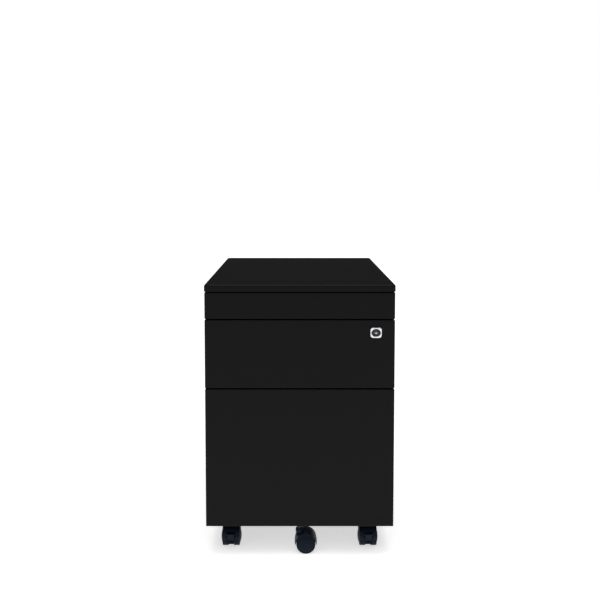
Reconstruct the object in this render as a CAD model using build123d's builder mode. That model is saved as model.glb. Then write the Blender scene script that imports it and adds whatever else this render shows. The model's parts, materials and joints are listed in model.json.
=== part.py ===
from build123d import *
import os

os.makedirs("parts", exist_ok=True)

# Mobile pedestal filing cabinet: pencil, box and file drawers in a folded sheet carcass on five castors.
# Millimetres. Z is up, the drawer fronts face -Y, and the floor is Z = 0.

# ---- overall ----
TOTAL_HEIGHT = 570.0
LID_WIDTH = 391.0
LID_DEPTH = 500.0
LID_THICKNESS = 14.5
LID_SHEET = 1.2
LID_EDGE_RADIUS = 4.5
LID_CORNER_RADIUS = 3.5
SHEET = 1.0

# ---- carcass ----
CARCASS_HALF_WIDTH = 194.0
CARCASS_BOTTOM = 60.0
CARCASS_TOP = 555.0
CARCASS_FRONT = -216.0
CARCASS_BACK = 248.0
FLANGE = 20.0
FRONT_RETURN = 3.5
PANEL_GAP = 0.1
BACKING_GAP = 0.2
PAN_LIP = 11.0
PAN_INSET = 2.0
NOTCH_WIDTH = 76.0
NOTCH_DEPTH = 46.0
RAIL_DEPTH = 16.0
RAIL_HALF_LENGTH = 186.0
RAIL_SETBACK = 6.0
RAIL_YS = (CARCASS_FRONT, -RAIL_DEPTH / 2, CARCASS_BACK - RAIL_DEPTH - RAIL_SETBACK)

# ---- drawer fronts ----
FRONT_WIDTH = 389.0
FRONT_FACE = -246.0
FRONT_DEPTH = 18.0
FRONT_EDGE_RADIUS = 1.6
FRONT_BACK = FRONT_FACE + FRONT_DEPTH
FILE_FRONT_LOW = 64.0
FILE_FRONT_HEIGHT = 289.0
FRONT_GAP = 2.5
BOX_FRONT_LOW = FILE_FRONT_LOW + FILE_FRONT_HEIGHT + FRONT_GAP
BOX_FRONT_HEIGHT = 141.0
PENCIL_FRONT_LOW = BOX_FRONT_LOW + BOX_FRONT_HEIGHT + FRONT_GAP
PENCIL_FRONT_HEIGHT = 54.5

# ---- drawer bodies ----
DRAWER_HALF_WIDTH = 177.0
DRAWER_BACK = 205.0
PENCIL_LOW = 508.0
PENCIL_HEIGHT = 37.0
BOX_LOW = 366.0
BOX_HEIGHT = 90.0
FILE_LOW = 76.0
FILE_HEIGHT = 236.0
RIM = 6.0
INSERT_CLEARANCE = 0.6
INSERT_HEIGHT = 22.0
INSERT_DEPTH = 120.0
INSERT_WALL = 1.6
INSERT_RIB_XS = (-105.0, 20.0, 95.0)
HANGING_RAIL_WIDTH = 3.0
HANGING_RAIL_HEIGHT = 14.0

# ---- slides ----
SLIDE_OUTER_X = 190.0
SLIDE_SHEET = 1.2
SLIDE_FRONT = -212.0
SLIDE_BACK = 228.0
SLIDE_LIP_X = 180.5
SLIDE_HALF_HEIGHT = 18.0
FILE_SLIDE_HALF_HEIGHT = 22.5
SLIDE_PLAY = 0.9
INNER_LIP_X = 187.4
INNER_BACK = 186.0
FILE_INNER_BACK = 206.0
FILE_INNER_LIP_X = 185.4
MIDDLE_WEB_X = 187.6
MIDDLE_LIP_X = 179.8
PENCIL_SLIDE_Z = 527.0
BOX_SLIDE_Z = 400.0
FILE_SLIDE_Z = 180.0
STOP_LENGTH = 8.0
STOP_HEIGHT = 16.0
STOP_GAP = 1.0
STOP_HALF_WIDTH = 3.5

# ---- uprights ----
UPRIGHT_WIDTH = 40.0
UPRIGHT_CROWN = 24.0
UPRIGHT_DEPTH = 3.0
UPRIGHT_LOW = 66.0
UPRIGHT_HIGH = 552.0
UPRIGHT_YS = (-188.0, 196.0)

# ---- lock ----
LOCK_X = 155.5
LOCK_Z = 471.0
ESCUTCHEON_WIDTH = 22.8
ESCUTCHEON_HEIGHT = 20.8
ESCUTCHEON_DEPTH = 3.6
ESCUTCHEON_TOP_RADIUS = 2.5
ESCUTCHEON_LOW_RADIUS = 6.0
BARREL_RADIUS = 9.0
BARREL_BACK = -223.0
BARREL_HOLE_RADIUS = 9.2
SHROUD_HALF_WIDTH = 9.8
SHROUD_HALF_HEIGHT = 8.0
SHROUD_DEPTH = 1.2
SHROUD_CLEARANCE = 0.1
PLUG_RADIUS = 6.4
PLUG_FRONT = -249.9
PLUG_BACK = -222.0
FIT = 0.05
KEY_SLOT_WIDTH = 8.4
KEY_SLOT_HEIGHT = 1.7
KEY_SLOT_DEPTH = 14.0
LOCK_NUT_RADIUS = 13.0
LOCK_NUT_DEPTH = 3.5
CAM_DEPTH = 2.5
CAM_LENGTH = 16.0
CAM_WIDTH = 12.0
CAM_SCREW_RADIUS = 3.6
CAM_SCREW_DEPTH = 2.0
BAR_X = 191.0
BAR_THICKNESS = 1.4
BAR_Y = -150.0
BAR_WIDTH = 16.0
BAR_LOW = 96.0
BAR_HIGH = 540.0
BAR_TAB_ZS = (330.0, 446.0, 490.0)
BAR_TAB_REACH = 8.0
BAR_TAB_HEIGHT = 5.0
GUIDE_ZS = (250.0, 470.0)
GUIDE_HEIGHT = 10.0
GUIDE_PLAY = 0.3
GUIDE_WALL = 0.8
GUIDE_FOOT = 6.0

# ---- castors ----
CASTOR_X = 146.0
FRONT_STEM_Y = -183.0
REAR_STEM_Y = 196.0
FIFTH_STEM_Y = -219.0
TRAIL = 13.0
WHEEL_RADIUS = 20.0
WHEEL_INNER = 5.5
WHEEL_OUTER = 18.0
WHEEL_DOME = 21.5
WHEEL_DOME_RADIUS = 17.5
WHEEL_TREAD_RADIUS = 1.8
AXLE_RADIUS = 3.0
AXLE_HALF_LENGTH = 15.5
AXLE_POCKET = 16.5
HOOD_CROWN_RADIUS = 23.6
HOOD_RIM_RADIUS = 22.2
HOOD_LOW = 19.5
HOOD_HALF_WIDTH = 18.5
HOOD_EDGE_RADIUS = 0.8
HOOD_CLEARANCE = 0.7
WEB_HALF_WIDTH = 4.2
WEB_RADIUS = 13.0
BOSS_RADIUS = 8.5
BOSS_TOP = 48.0
STEM_RADIUS = 5.0
STEM_LOW = 31.0
STEM_HIGH = 71.0
FIFTH_STEM_HIGH = 75.0
COLLAR_FLATS = 15.0
COLLAR_HEIGHT = 5.0
NUT_FLATS = 17.0
NUT_HEIGHT = 5.0
PLATE_WIDTH = 60.0
PLATE_DEPTH = 50.0
PLATE_THICKNESS = 3.0
SLOT_HALF_WIDTH = 9.0
SLOT_BACK = -32.4
SLOT_TOP = 35.0
PEDAL_PIVOT_Y = -35.2
PEDAL_PIVOT_Z = 31.5
PEDAL_PIN_RADIUS = 1.2
PEDAL_HUB_RADIUS = 2.4
PEDAL_HALF_WIDTH = 7.0
PEDAL_TIP_Z = 14.0
PEDAL_TIP_Y = -43.0
PEDAL_BLADE = 3.0

# ---- fifth castor bracket ----
BRACKET_SHEET = 3.0
BRACKET_LOW = 66.0
BRACKET_HALF_WIDTH = 20.0
BRACKET_FLANGE = 12.0
BRACKET_FRONT = -227.5
BRACKET_DEPTH = 40.0

# ---- screws ----
SCREW_RADIUS = 4.0
SCREW_HEAD = 2.0
SCREW_DOME = 0.8
SCREW_XS = (-140.0, 140.0)
HEX_SIDES = 6
BOX_SCREW_LEVELS = (0.25, 0.75)
FILE_SCREW_LEVELS = (0.15, 0.85)


def bar(x_low, x_high, y_low, y_high, z_low, z_high, mode=Mode.ADD):
    """Extrude one straight plate between the given limits into the open part."""
    with BuildSketch(Plane.XY.offset(z_low)) as outline:
        with Locations(((x_low + x_high) / 2, (y_low + y_high) / 2)):
            Rectangle(x_high - x_low, y_high - y_low)
    extrude(outline.sketch, amount=z_high - z_low, mode=mode)


def side_bar(side, x_in, x_out, y_low, y_high, z_low, z_high, mode=Mode.ADD):
    """The same plate on the left (side = -1) or right (side = +1)."""
    bar(min(side * x_in, side * x_out), max(side * x_in, side * x_out), y_low, y_high, z_low, z_high, mode)


def save(solid, node):
    """Label one sub-part and write its file."""
    solid.label = node
    export_step(solid, "parts/" + node + ".step")


# ---------------------------------------------------------------- carcass

with BuildPart() as top_lid:
    with BuildSketch(Plane.XY.offset(TOTAL_HEIGHT - LID_THICKNESS)):
        RectangleRounded(LID_WIDTH, LID_DEPTH, LID_CORNER_RADIUS + LID_EDGE_RADIUS)
    extrude(amount=LID_THICKNESS)
    fillet(top_lid.faces().sort_by(Axis.Z)[-1].edges(), radius=LID_EDGE_RADIUS)
    offset(amount=-LID_SHEET, openings=top_lid.faces().sort_by(Axis.Z)[0])
save(top_lid.part, "top_lid")

with BuildPart() as top_rails:
    rail_high = TOTAL_HEIGHT - LID_SHEET
    for y in RAIL_YS:
        bar(-RAIL_HALF_LENGTH, RAIL_HALF_LENGTH, y, y + RAIL_DEPTH, CARCASS_TOP, rail_high)
        bar(-RAIL_HALF_LENGTH, RAIL_HALF_LENGTH, y + SHEET, y + RAIL_DEPTH, CARCASS_TOP + SHEET,
            rail_high - SHEET, Mode.SUBTRACT)
save(top_rails.part, "top_rails")


def side_panel(side):
    """One side wall with its front, back, top and bottom flanges folded inwards."""
    wall_in = CARCASS_HALF_WIDTH - SHEET
    flange_in = CARCASS_HALF_WIDTH - FLANGE
    return_in = CARCASS_HALF_WIDTH - FRONT_RETURN
    with BuildPart() as panel:
        side_bar(side, wall_in, CARCASS_HALF_WIDTH, CARCASS_FRONT, CARCASS_BACK,
                 CARCASS_BOTTOM, CARCASS_TOP)
        side_bar(side, return_in, CARCASS_HALF_WIDTH, CARCASS_FRONT, CARCASS_FRONT + SHEET,
                 CARCASS_BOTTOM, CARCASS_TOP)
        side_bar(side, flange_in, CARCASS_HALF_WIDTH, CARCASS_BACK - SHEET, CARCASS_BACK,
                 CARCASS_BOTTOM, CARCASS_TOP)
        side_bar(side, flange_in, CARCASS_HALF_WIDTH, CARCASS_FRONT, CARCASS_BACK,
                 CARCASS_BOTTOM, CARCASS_BOTTOM + SHEET)
        side_bar(side, flange_in, CARCASS_HALF_WIDTH, CARCASS_FRONT, CARCASS_BACK,
                 CARCASS_TOP - SHEET, CARCASS_TOP)
    return panel.part


save(side_panel(-1), "left_side_panel")
save(side_panel(1), "right_side_panel")

with BuildPart() as back_panel:
    back_half = CARCASS_HALF_WIDTH - SHEET - PANEL_GAP
    bar(-back_half, back_half, CARCASS_BACK - 2 * SHEET, CARCASS_BACK - SHEET,
        CARCASS_BOTTOM + SHEET + PANEL_GAP, CARCASS_TOP - SHEET - PANEL_GAP)
save(back_panel.part, "back_panel")

with BuildPart() as bottom_pan:
    pan_half = CARCASS_HALF_WIDTH - FLANGE - PANEL_GAP
    pan_front = CARCASS_FRONT + PAN_INSET
    pan_back = CARCASS_BACK - 2 * SHEET - PANEL_GAP
    bar(-pan_half, pan_half, pan_front, pan_back, CARCASS_BOTTOM, CARCASS_BOTTOM + SHEET)
    bar(-pan_half, pan_half, pan_front, pan_front + SHEET, CARCASS_BOTTOM, CARCASS_BOTTOM + PAN_LIP)
    bar(-pan_half, pan_half, pan_back - SHEET, pan_back, CARCASS_BOTTOM, CARCASS_BOTTOM + PAN_LIP)
    bar(-NOTCH_WIDTH / 2, NOTCH_WIDTH / 2, pan_front, pan_front + NOTCH_DEPTH,
        CARCASS_BOTTOM, CARCASS_BOTTOM + PAN_LIP, Mode.SUBTRACT)
    with BuildSketch(Plane.XY.offset(CARCASS_BOTTOM)):
        with Locations(*[(x, y) for x in (-CASTOR_X, CASTOR_X) for y in (FRONT_STEM_Y, REAR_STEM_Y)]):
            Circle(STEM_RADIUS + FIT)
    extrude(amount=SHEET, mode=Mode.SUBTRACT)
save(bottom_pan.part, "bottom_pan")

with BuildPart() as slide_uprights:
    wall = CARCASS_HALF_WIDTH - SHEET
    for side in (-1, 1):
        for y in UPRIGHT_YS:
            side_bar(side, wall - SHEET, wall, y - UPRIGHT_WIDTH / 2, y + UPRIGHT_WIDTH / 2,
                     UPRIGHT_LOW, UPRIGHT_HIGH)
            side_bar(side, wall - UPRIGHT_DEPTH, wall, y - UPRIGHT_CROWN / 2, y + UPRIGHT_CROWN / 2,
                     UPRIGHT_LOW, UPRIGHT_HIGH)
            side_bar(side, wall - UPRIGHT_DEPTH + SHEET, wall, y - UPRIGHT_CROWN / 2 + SHEET,
                     y + UPRIGHT_CROWN / 2 - SHEET, UPRIGHT_LOW, UPRIGHT_HIGH, Mode.SUBTRACT)
save(slide_uprights.part, "slide_uprights")


# ---------------------------------------------------------------- slides

def channel(side, web_x, lip_x, half_height, centre_z, y_low, y_high):
    """One C-section slide member: an upright web at web_x with two flanges reaching to lip_x."""
    inward = SLIDE_SHEET if lip_x > web_x else -SLIDE_SHEET
    z_low = centre_z - half_height
    z_high = centre_z + half_height
    side_bar(side, web_x, web_x + inward, y_low, y_high, z_low, z_high)
    side_bar(side, web_x, lip_x, y_low, y_high, z_low, z_low + SLIDE_SHEET)
    side_bar(side, web_x, lip_x, y_low, y_high, z_high - SLIDE_SHEET, z_high)


NESTED = SLIDE_SHEET + SLIDE_PLAY
SLIDE_LEVELS = (
    (PENCIL_SLIDE_Z, SLIDE_HALF_HEIGHT),
    (BOX_SLIDE_Z, SLIDE_HALF_HEIGHT),
    (FILE_SLIDE_Z, FILE_SLIDE_HALF_HEIGHT),
)

with BuildPart() as slide_outer_members:
    for side in (-1, 1):
        for centre_z, half_height in SLIDE_LEVELS:
            channel(side, SLIDE_OUTER_X, SLIDE_LIP_X, half_height, centre_z, SLIDE_FRONT, SLIDE_BACK)
save(slide_outer_members.part, "slide_outer_members")

with BuildPart() as slide_stops:
    stop_x = (SLIDE_OUTER_X - SLIDE_SHEET + SLIDE_LIP_X) / 2
    for side in (-1, 1):
        for centre_z, inner_back in (
            (PENCIL_SLIDE_Z, INNER_BACK),
            (BOX_SLIDE_Z, INNER_BACK),
            (FILE_SLIDE_Z, FILE_INNER_BACK),
        ):
            stop_front = inner_back + STOP_GAP
            side_bar(side, stop_x - STOP_HALF_WIDTH, SLIDE_OUTER_X - SLIDE_SHEET, stop_front,
                     stop_front + STOP_LENGTH, centre_z - STOP_HEIGHT / 2, centre_z + STOP_HEIGHT / 2)
save(slide_stops.part, "slide_stops")

with BuildPart() as pencil_slide_inner:
    for side in (-1, 1):
        channel(side, DRAWER_HALF_WIDTH, INNER_LIP_X, SLIDE_HALF_HEIGHT - NESTED, PENCIL_SLIDE_Z,
                SLIDE_FRONT, INNER_BACK)
save(pencil_slide_inner.part, "pencil_slide_inner")

with BuildPart() as box_slide_inner:
    for side in (-1, 1):
        channel(side, DRAWER_HALF_WIDTH, INNER_LIP_X, SLIDE_HALF_HEIGHT - NESTED, BOX_SLIDE_Z,
                SLIDE_FRONT, INNER_BACK)
save(box_slide_inner.part, "box_slide_inner")

with BuildPart() as file_slide_middle:
    for side in (-1, 1):
        channel(side, MIDDLE_WEB_X, MIDDLE_LIP_X, FILE_SLIDE_HALF_HEIGHT - NESTED, FILE_SLIDE_Z,
                SLIDE_FRONT, FILE_INNER_BACK)
save(file_slide_middle.part, "file_slide_middle")

with BuildPart() as file_slide_inner:
    for side in (-1, 1):
        channel(side, DRAWER_HALF_WIDTH, FILE_INNER_LIP_X, FILE_SLIDE_HALF_HEIGHT - 2 * NESTED,
                FILE_SLIDE_Z, SLIDE_FRONT, FILE_INNER_BACK)
save(file_slide_inner.part, "file_slide_inner")


# ---------------------------------------------------------------- drawer fronts and bodies

def front_skin(low, height):
    """The folded outer skin of one drawer front, open at the back."""
    with BuildPart() as skin:
        with BuildSketch(Plane.XZ.offset(-FRONT_BACK)):
            with Locations((0, low + height / 2)):
                Rectangle(FRONT_WIDTH, height)
        extrude(amount=FRONT_DEPTH)
        fillet(skin.edges().filter_by(Axis.Y), radius=FRONT_EDGE_RADIUS)
        fillet(skin.faces().sort_by(Axis.Y)[0].edges(), radius=FRONT_EDGE_RADIUS)
        offset(amount=-SHEET, openings=skin.faces().sort_by(Axis.Y)[-1])
    return skin.part


def front_backing(low, height):
    """The plate that closes the back of one drawer front."""
    inset = SHEET + BACKING_GAP
    half = FRONT_WIDTH / 2 - inset
    with BuildPart() as backing:
        bar(-half, half, FRONT_BACK - SHEET, FRONT_BACK, low + inset, low + height - inset)
    return backing.part


def drawer_tray(low, height):
    """An open-topped folded tray with small inward rims along both sides."""
    half = DRAWER_HALF_WIDTH
    with BuildPart() as tray:
        bar(-half, half, FRONT_BACK, DRAWER_BACK, low, low + height)
        bar(-half + SHEET, half - SHEET, FRONT_BACK + SHEET, DRAWER_BACK - SHEET, low + SHEET, low + height,
            Mode.SUBTRACT)
        for side in (-1, 1):
            side_bar(side, half - RIM, half, FRONT_BACK, DRAWER_BACK, low + height - SHEET, low + height)
    return tray.part


def front_screws(low, height, levels):
    """Domed screw heads on the inner face of a tray's front wall, at the given parts of its height."""
    with BuildPart() as screws:
        for level in levels:
            with BuildSketch(Plane.XZ.offset(-(FRONT_BACK + SHEET))):
                with Locations(*[(x, low + height * level) for x in SCREW_XS]):
                    Circle(SCREW_RADIUS)
            extrude(amount=-SCREW_HEAD)
        fillet(screws.faces().filter_by(Axis.Y).group_by(Axis.Y)[-1].edges(), radius=SCREW_DOME)
    return screws.part


save(front_skin(PENCIL_FRONT_LOW, PENCIL_FRONT_HEIGHT), "pencil_front")
save(front_backing(PENCIL_FRONT_LOW, PENCIL_FRONT_HEIGHT), "pencil_front_backing")
save(drawer_tray(PENCIL_LOW, PENCIL_HEIGHT), "pencil_drawer_tray")

with BuildPart() as pencil_insert:
    insert_half = DRAWER_HALF_WIDTH - SHEET - INSERT_CLEARANCE
    insert_front = FRONT_BACK + SHEET + INSERT_CLEARANCE
    insert_back = insert_front + INSERT_DEPTH
    insert_low = PENCIL_LOW + SHEET
    insert_high = insert_low + INSERT_HEIGHT
    bar(-insert_half, insert_half, insert_front, insert_back, insert_low, insert_high)
    bar(-insert_half + INSERT_WALL, insert_half - INSERT_WALL, insert_front + INSERT_WALL,
        insert_back - INSERT_WALL, insert_low + INSERT_WALL, insert_high, Mode.SUBTRACT)
    for x in INSERT_RIB_XS:
        bar(x - INSERT_WALL / 2, x + INSERT_WALL / 2, insert_front, insert_back, insert_low, insert_high)
save(pencil_insert.part, "pencil_insert")

with BuildPart() as box_front:
    add(front_skin(BOX_FRONT_LOW, BOX_FRONT_HEIGHT))
    with BuildSketch(Plane.XZ.offset(-FRONT_FACE)):
        with Locations((LOCK_X, LOCK_Z)):
            Circle(BARREL_HOLE_RADIUS)
    extrude(amount=-FRONT_DEPTH, mode=Mode.SUBTRACT)
save(box_front.part, "box_front")

with BuildPart() as box_front_backing:
    add(front_backing(BOX_FRONT_LOW, BOX_FRONT_HEIGHT))
    with BuildSketch(Plane.XZ.offset(-FRONT_FACE)):
        with Locations((LOCK_X, LOCK_Z)):
            Circle(BARREL_HOLE_RADIUS)
    extrude(amount=-FRONT_DEPTH, mode=Mode.SUBTRACT)
save(box_front_backing.part, "box_front_backing")

save(drawer_tray(BOX_LOW, BOX_HEIGHT), "box_drawer_tray")
save(front_screws(BOX_LOW, BOX_HEIGHT, BOX_SCREW_LEVELS), "box_front_screws")

save(front_skin(FILE_FRONT_LOW, FILE_FRONT_HEIGHT), "file_front")
save(front_backing(FILE_FRONT_LOW, FILE_FRONT_HEIGHT), "file_front_backing")
save(drawer_tray(FILE_LOW, FILE_HEIGHT), "file_drawer_tray")
save(front_screws(FILE_LOW, FILE_HEIGHT, FILE_SCREW_LEVELS), "file_front_screws")

with BuildPart() as file_hanging_rails:
    rail_low = FILE_LOW + FILE_HEIGHT
    for side in (-1, 1):
        side_bar(side, DRAWER_HALF_WIDTH - HANGING_RAIL_WIDTH, DRAWER_HALF_WIDTH, FRONT_BACK + RIM,
                 DRAWER_BACK - RIM, rail_low, rail_low + HANGING_RAIL_HEIGHT)
save(file_hanging_rails.part, "file_hanging_rails")


# ---------------------------------------------------------------- lock

def lens(half_width, half_height):
    """An eye-shaped outline round the lock's axis: two arcs that meet in points at the left and right."""
    with BuildSketch(Plane.XY) as outline:
        with BuildLine():
            ThreePointArc(
                (LOCK_X - half_width, LOCK_Z),
                (LOCK_X, LOCK_Z + half_height),
                (LOCK_X + half_width, LOCK_Z),
            )
            ThreePointArc(
                (LOCK_X + half_width, LOCK_Z),
                (LOCK_X, LOCK_Z - half_height),
                (LOCK_X - half_width, LOCK_Z),
            )
        make_face()
    return outline.sketch_local


with BuildPart() as lock_housing:
    with BuildSketch(Plane.XZ.offset(-FRONT_FACE)) as plate_outline:
        with Locations((LOCK_X, LOCK_Z)):
            Rectangle(ESCUTCHEON_WIDTH, ESCUTCHEON_HEIGHT)
        fillet(plate_outline.vertices().group_by(Axis.Y)[0], radius=ESCUTCHEON_LOW_RADIUS)
        fillet(plate_outline.vertices().group_by(Axis.Y)[-1], radius=ESCUTCHEON_TOP_RADIUS)
    extrude(amount=ESCUTCHEON_DEPTH)
    fillet(lock_housing.faces().sort_by(Axis.Y)[0].edges(), radius=SHEET)
    with BuildSketch(Plane.XZ.offset(-FRONT_FACE)):
        with Locations((LOCK_X, LOCK_Z)):
            Circle(BARREL_RADIUS)
    extrude(amount=FRONT_FACE - BARREL_BACK)
    with BuildSketch(Plane.XZ.offset(-BARREL_BACK)):
        with Locations((LOCK_X, LOCK_Z)):
            Circle(PLUG_RADIUS + FIT)
    extrude(amount=BARREL_BACK - PLUG_FRONT, mode=Mode.SUBTRACT)
    with BuildSketch(Plane.XZ.offset(-FRONT_FACE + ESCUTCHEON_DEPTH - SHROUD_DEPTH)):
        add(lens(SHROUD_HALF_WIDTH, SHROUD_HALF_HEIGHT))
    extrude(amount=SHROUD_DEPTH, mode=Mode.SUBTRACT)
save(lock_housing.part, "lock_housing")

with BuildPart() as lock_shroud:
    with BuildSketch(Plane.XZ.offset(-FRONT_FACE + ESCUTCHEON_DEPTH - SHROUD_DEPTH)):
        add(lens(SHROUD_HALF_WIDTH - SHROUD_CLEARANCE, SHROUD_HALF_HEIGHT - SHROUD_CLEARANCE))
        with Locations((LOCK_X, LOCK_Z)):
            Circle(PLUG_RADIUS + FIT, mode=Mode.SUBTRACT)
    extrude(amount=SHROUD_DEPTH)
save(lock_shroud.part, "lock_shroud")

with BuildPart() as lock_plug:
    with BuildSketch(Plane.XZ.offset(-PLUG_BACK)):
        with Locations((LOCK_X, LOCK_Z)):
            Circle(PLUG_RADIUS)
    extrude(amount=PLUG_BACK - PLUG_FRONT)
    with BuildSketch(Plane.XZ.offset(-PLUG_FRONT)):
        with Locations((LOCK_X, LOCK_Z)):
            Rectangle(KEY_SLOT_WIDTH, KEY_SLOT_HEIGHT)
    extrude(amount=-KEY_SLOT_DEPTH, mode=Mode.SUBTRACT)
save(lock_plug.part, "lock_plug")

with BuildPart() as lock_nut:
    with BuildSketch(Plane.XZ.offset(-FRONT_BACK)):
        with Locations((LOCK_X, LOCK_Z)):
            RegularPolygon(LOCK_NUT_RADIUS, HEX_SIDES)
            Circle(BARREL_HOLE_RADIUS, mode=Mode.SUBTRACT)
    extrude(amount=-LOCK_NUT_DEPTH)
save(lock_nut.part, "lock_nut")

with BuildPart() as lock_cam:
    with BuildSketch(Plane.XZ.offset(-PLUG_BACK)):
        with Locations((LOCK_X, LOCK_Z + CAM_LENGTH / 2)):
            SlotCenterToCenter(CAM_LENGTH, CAM_WIDTH, rotation=90)
        with Locations((LOCK_X, LOCK_Z)):
            Circle(CAM_SCREW_RADIUS, mode=Mode.SUBTRACT)
    extrude(amount=-CAM_DEPTH)
    with BuildSketch(Plane.XZ.offset(-PLUG_BACK)):
        with Locations((LOCK_X, LOCK_Z)):
            Circle(CAM_SCREW_RADIUS - FIT)
    extrude(amount=-(CAM_DEPTH + CAM_SCREW_DEPTH))
    fillet(lock_cam.faces().sort_by(Axis.Y)[-1].edges(), radius=SCREW_DOME)
save(lock_cam.part, "lock_cam")

with BuildPart() as lock_bar:
    bar(BAR_X, BAR_X + BAR_THICKNESS, BAR_Y - BAR_WIDTH / 2, BAR_Y + BAR_WIDTH / 2, BAR_LOW, BAR_HIGH)
    for z in BAR_TAB_ZS:
        bar(BAR_X - BAR_TAB_REACH, BAR_X, BAR_Y, BAR_Y + BAR_THICKNESS, z, z + BAR_TAB_HEIGHT)
save(lock_bar.part, "lock_bar")

with BuildPart() as lock_bar_guides:
    guide_in = BAR_X - GUIDE_PLAY - GUIDE_WALL
    wall_in = CARCASS_HALF_WIDTH - SHEET
    reach = BAR_WIDTH / 2 + GUIDE_PLAY
    for z in GUIDE_ZS:
        bar(wall_in - GUIDE_WALL, wall_in, BAR_Y - reach - GUIDE_FOOT, BAR_Y + reach + GUIDE_FOOT,
            z, z + GUIDE_HEIGHT)
        bar(guide_in, wall_in, BAR_Y - reach - GUIDE_WALL, BAR_Y + reach + GUIDE_WALL, z, z + GUIDE_HEIGHT)
        bar(guide_in + GUIDE_WALL, wall_in, BAR_Y - reach, BAR_Y + reach, z, z + GUIDE_HEIGHT,
            Mode.SUBTRACT)
save(lock_bar_guides.part, "lock_bar_guides")


# ---------------------------------------------------------------- castors
# Each castor is drawn with its stem on the Z axis and its wheels trailing towards -Y, then placed.

AXLE = Axis((0, -TRAIL, WHEEL_RADIUS), (1, 0, 0))


def across(radius, y, z, half_length, mode=Mode.ADD):
    """A round bar across the castor, parallel to X, between plus and minus half_length."""
    with BuildSketch(Plane.YZ.offset(-half_length)) as outline:
        with Locations((y, z)):
            Circle(radius)
    extrude(outline.sketch, amount=2 * half_length, mode=mode)


def castor_hood(braked):
    """The moulded hood: a dome over both wheels, a web between them and the boss for the stem."""
    reach = 2 * HOOD_CROWN_RADIUS
    rim_z = WHEEL_RADIUS + HOOD_RIM_RADIUS
    with BuildPart() as hood:
        with BuildSketch(Plane.XZ.offset(TRAIL)):
            with BuildLine():
                ThreePointArc(
                    (-HOOD_HALF_WIDTH, rim_z),
                    (0, WHEEL_RADIUS + HOOD_CROWN_RADIUS),
                    (HOOD_HALF_WIDTH, rim_z),
                )
                Polyline(
                    (HOOD_HALF_WIDTH, rim_z),
                    (HOOD_HALF_WIDTH, WHEEL_RADIUS),
                    (-HOOD_HALF_WIDTH, WHEEL_RADIUS),
                    (-HOOD_HALF_WIDTH, rim_z),
                )
            make_face()
        revolve(axis=AXLE)
        fillet(hood.edges().filter_by(GeomType.CIRCLE), radius=HOOD_EDGE_RADIUS)
        bar(-reach, reach, -reach - TRAIL, reach - TRAIL, -reach, HOOD_LOW, Mode.SUBTRACT)
        across(WEB_RADIUS, -TRAIL, WHEEL_RADIUS, WEB_HALF_WIDTH)
        with BuildSketch(Plane.XY.offset(STEM_LOW)):
            Circle(BOSS_RADIUS)
        extrude(amount=BOSS_TOP - STEM_LOW)
        fillet(hood.faces().sort_by(Axis.Z)[-1].edges(), radius=SHEET)
        for low_x, high_x in ((-reach, -WEB_HALF_WIDTH), (WEB_HALF_WIDTH, reach)):
            with BuildSketch(Plane.YZ.offset(low_x)):
                with Locations((-TRAIL, WHEEL_RADIUS)):
                    Circle(WHEEL_RADIUS + HOOD_CLEARANCE)
            extrude(amount=high_x - low_x, mode=Mode.SUBTRACT)
        with BuildSketch(Plane.XY.offset(STEM_LOW - SHEET)):
            Circle(STEM_RADIUS + FIT)
        extrude(amount=BOSS_TOP - STEM_LOW + SHEET, mode=Mode.SUBTRACT)
        across(AXLE_RADIUS + FIT, -TRAIL, WHEEL_RADIUS, WEB_HALF_WIDTH, Mode.SUBTRACT)
        if braked:
            bar(-SLOT_HALF_WIDTH, SLOT_HALF_WIDTH, -reach, SLOT_BACK, 0, SLOT_TOP, Mode.SUBTRACT)
    return hood.part


def castor_axle(braked):
    """The steel axle, and on a braked castor the pedal's pin."""
    with BuildPart() as axle:
        across(AXLE_RADIUS, -TRAIL, WHEEL_RADIUS, AXLE_HALF_LENGTH)
        if braked:
            across(PEDAL_PIN_RADIUS, PEDAL_PIVOT_Y, PEDAL_PIVOT_Z, SLOT_HALF_WIDTH)
    return axle.part


def castor_wheel(side):
    """One wheel with a flat tread, a domed outer face and a blind bore for the axle."""
    rise = WHEEL_DOME - WHEEL_OUTER
    sphere = (WHEEL_DOME_RADIUS ** 2 + rise ** 2) / (2 * rise)
    halfway = WHEEL_DOME - sphere + (sphere ** 2 - (WHEEL_DOME_RADIUS / 2) ** 2) ** 0.5
    with BuildPart() as wheel:
        with BuildSketch(Plane.XZ.offset(TRAIL)):
            with BuildLine():
                Polyline(
                    (side * AXLE_POCKET, WHEEL_RADIUS),
                    (side * AXLE_POCKET, WHEEL_RADIUS + AXLE_RADIUS + FIT),
                    (side * WHEEL_INNER, WHEEL_RADIUS + AXLE_RADIUS + FIT),
                    (side * WHEEL_INNER, 2 * WHEEL_RADIUS - WHEEL_TREAD_RADIUS),
                    (side * (WHEEL_INNER + WHEEL_TREAD_RADIUS / 2), 2 * WHEEL_RADIUS),
                    (side * (WHEEL_OUTER - WHEEL_TREAD_RADIUS), 2 * WHEEL_RADIUS),
                    (side * WHEEL_OUTER, 2 * WHEEL_RADIUS - WHEEL_TREAD_RADIUS),
                    (side * WHEEL_OUTER, WHEEL_RADIUS + WHEEL_DOME_RADIUS),
                )
                ThreePointArc(
                    (side * WHEEL_OUTER, WHEEL_RADIUS + WHEEL_DOME_RADIUS),
                    (side * halfway, WHEEL_RADIUS + WHEEL_DOME_RADIUS / 2),
                    (side * WHEEL_DOME, WHEEL_RADIUS),
                )
                Line((side * WHEEL_DOME, WHEEL_RADIUS), (side * AXLE_POCKET, WHEEL_RADIUS))
            make_face()
        revolve(axis=AXLE)
    return wheel.part


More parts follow.
